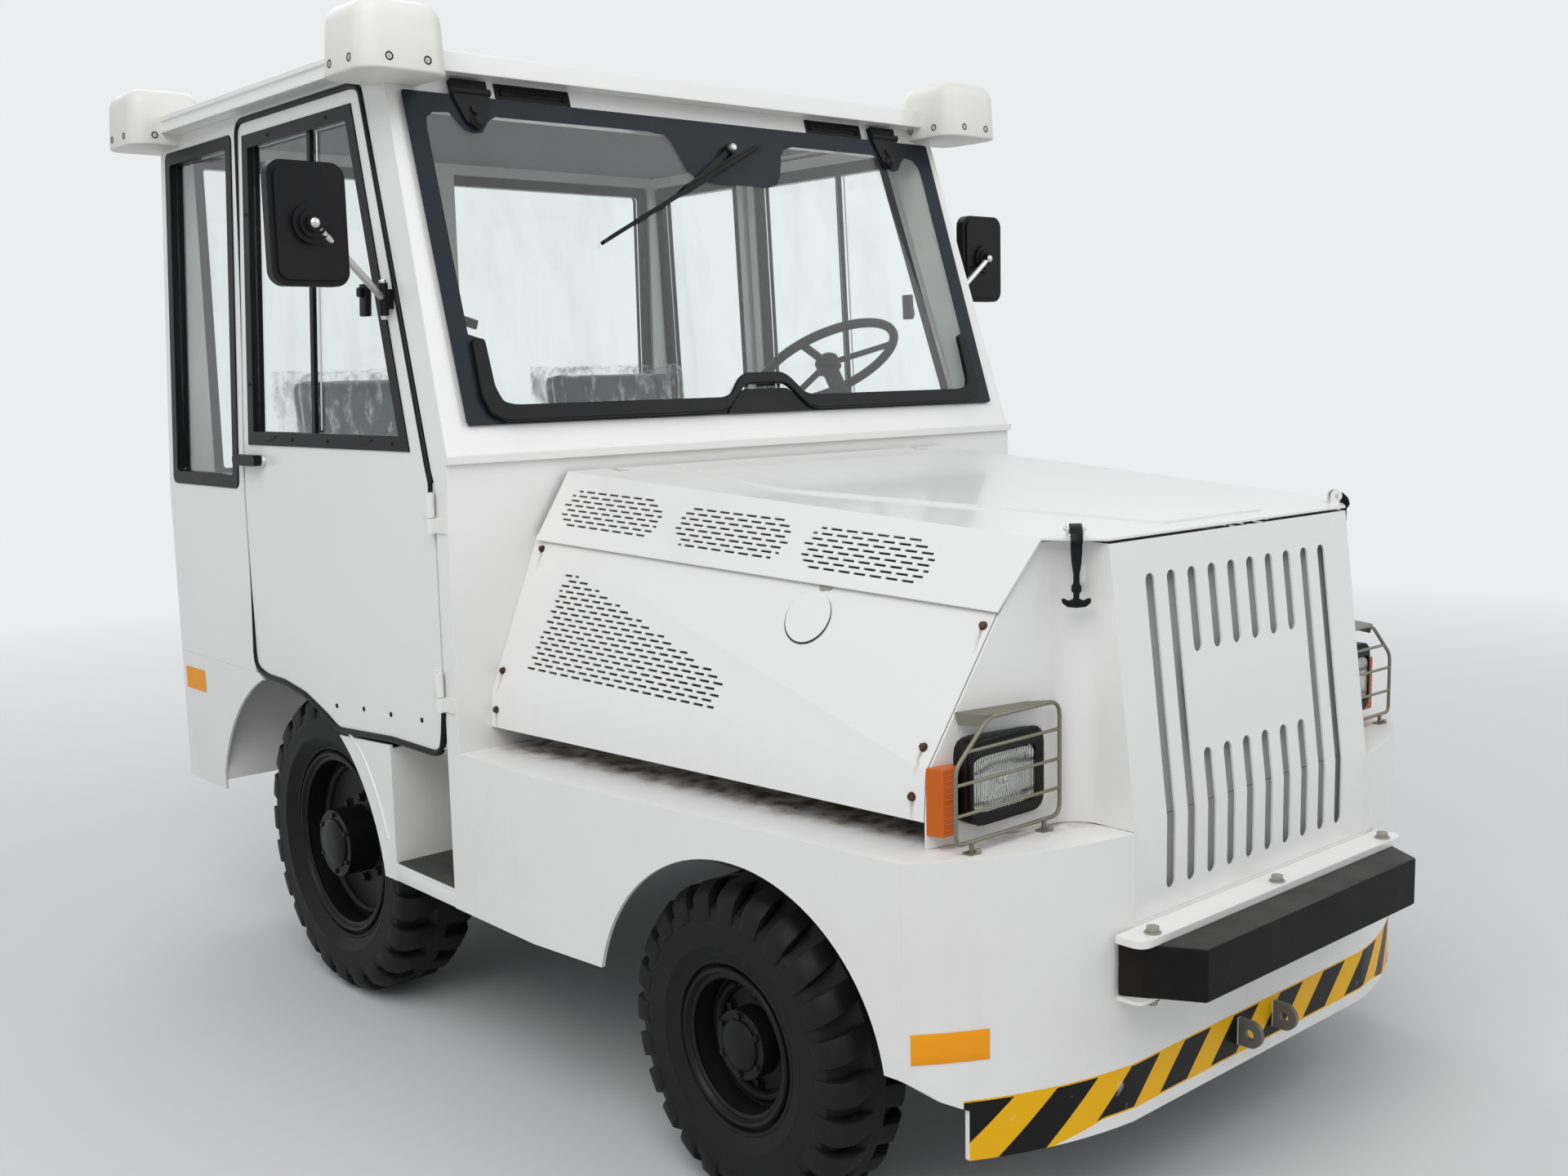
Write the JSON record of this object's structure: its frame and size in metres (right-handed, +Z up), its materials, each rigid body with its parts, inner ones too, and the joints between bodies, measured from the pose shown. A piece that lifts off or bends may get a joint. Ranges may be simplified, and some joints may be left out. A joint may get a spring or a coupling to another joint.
{
  "type": "aircraft pushback tractor",
  "caption": "Compact aircraft tow tractor with an enclosed rear cab, hinged hood, slotted nose, front bumper and a stepped rear tow hitch.",
  "frame": {"origin": "bottom centre of the box round the tractor, on the ground it stands on", "axes": "+Z up, -Y towards the front, +X towards the left side of the tractor"},
  "size_m": [2.24, 3.052, 2.1965],
  "materials": {
    "white_paint": "satin",
    "chassis_paint": "satin",
    "engine": "matt",
    "black_rubber": "matt",
    "lamp": "gloss",
    "galvanised": "satin",
    "amber": "gloss",
    "red_lens": "gloss",
    "cream_plastic": "satin",
    "glass": "clear",
    "black_plastic": "matt",
    "floor_mat": "matt",
    "seat_vinyl": "satin",
    "rim_paint": "satin",
    "tyre": "matt"
  },
  "bodies": {
    "chassis": {"chassis_frame": "chassis_paint", "front_body": "white_paint", "nose_panel": "white_paint", "side_panels": "white_paint", "engine_block": "engine", "radiator": "engine", "bumper_bracket": "white_paint", "bumper_pad": "black_rubber", "headlamps": "lamp", "lamp_guards": "galvanised", "indicators": "amber", "rear_body": "white_paint", "tow_hitch": "white_paint", "tail_lamps": "red_lens", "cab_front": "white_paint", "cab_rear": "white_paint", "cab_floor": "floor_mat", "roof": "white_paint", "roof_caps": "cream_plastic", "cab_glass": "glass", "window_frames": "black_rubber", "screen_fittings": "black_plastic", "dashboard": "black_plastic", "seats": "seat_vinyl", "front_axle": "chassis_paint", "rear_axle": "chassis_paint"},
    "hood": {"hood": "white_paint", "latches": "black_rubber"},
    "steering_wheel": {"steering_wheel": "black_plastic"},
    "door_right": {"door_right": "white_paint", "door_frame_right": "black_rubber", "door_glass_right": "glass", "mirror_right": "black_plastic"},
    "knuckle_right": {"knuckle_right": "chassis_paint"},
    "front_wheel_right": {"front_rim_right": "rim_paint", "front_tyre_right": "tyre"},
    "rear_wheel_right": {"rear_rim_right": "rim_paint", "rear_tyre_right": "tyre"},
    "door_left": {"door_left": "white_paint", "door_frame_left": "black_rubber", "door_glass_left": "glass", "mirror_left": "black_plastic"},
    "knuckle_left": {"knuckle_left": "chassis_paint"},
    "front_wheel_left": {"front_rim_left": "rim_paint", "front_tyre_left": "tyre"},
    "rear_wheel_left": {"rear_rim_left": "rim_paint", "rear_tyre_left": "tyre"}
  },
  "joints": [
    {"name": "hood_hinge", "type": "hinge", "parent": "chassis", "child": "hood", "pos_m": [0, -0.136, 1.236], "axis": [-1, 0, 0], "range_deg": [0, 60]},
    {"name": "steering_turn", "type": "hinge", "parent": "chassis", "child": "steering_wheel", "pos_m": [0.47, 0.2, 1.47], "axis": [0, 0.5299, 0.848], "continuous": true},
    {"name": "door_hinge_right", "type": "hinge", "parent": "chassis", "child": "door_right", "pos_m": [-0.862, -0.053, 1], "axis": [0, 0, 1], "range_deg": [0, 80]},
    {"name": "steer_right", "type": "hinge", "parent": "chassis", "child": "knuckle_right", "pos_m": [-0.6, -0.862, 0.2895], "axis": [0, 0, 1], "range_deg": [-35, 35]},
    {"name": "roll_front_right", "type": "hinge", "parent": "knuckle_right", "child": "front_wheel_right", "pos_m": [-0.702, -0.862, 0.2895], "axis": [1, 0, 0], "continuous": true},
    {"name": "roll_rear_right", "type": "hinge", "parent": "chassis", "child": "rear_wheel_right", "pos_m": [-0.721, 0.578, 0.3603], "axis": [1, 0, 0], "continuous": true},
    {"name": "door_hinge_left", "type": "hinge", "parent": "chassis", "child": "door_left", "pos_m": [0.862, -0.053, 1], "axis": [0, 0, -1], "range_deg": [0, 80]},
    {"name": "steer_left", "type": "hinge", "parent": "chassis", "child": "knuckle_left", "pos_m": [0.6, -0.862, 0.2895], "axis": [0, 0, 1], "range_deg": [-35, 35]},
    {"name": "roll_front_left", "type": "hinge", "parent": "knuckle_left", "child": "front_wheel_left", "pos_m": [0.702, -0.862, 0.2895], "axis": [1, 0, 0], "continuous": true},
    {"name": "roll_rear_left", "type": "hinge", "parent": "chassis", "child": "rear_wheel_left", "pos_m": [0.721, 0.578, 0.3603], "axis": [1, 0, 0], "continuous": true}
  ],
  "couplings": [
    {"joint": "steer_left", "follows": "steer_right", "ratio": 1}
  ]
}
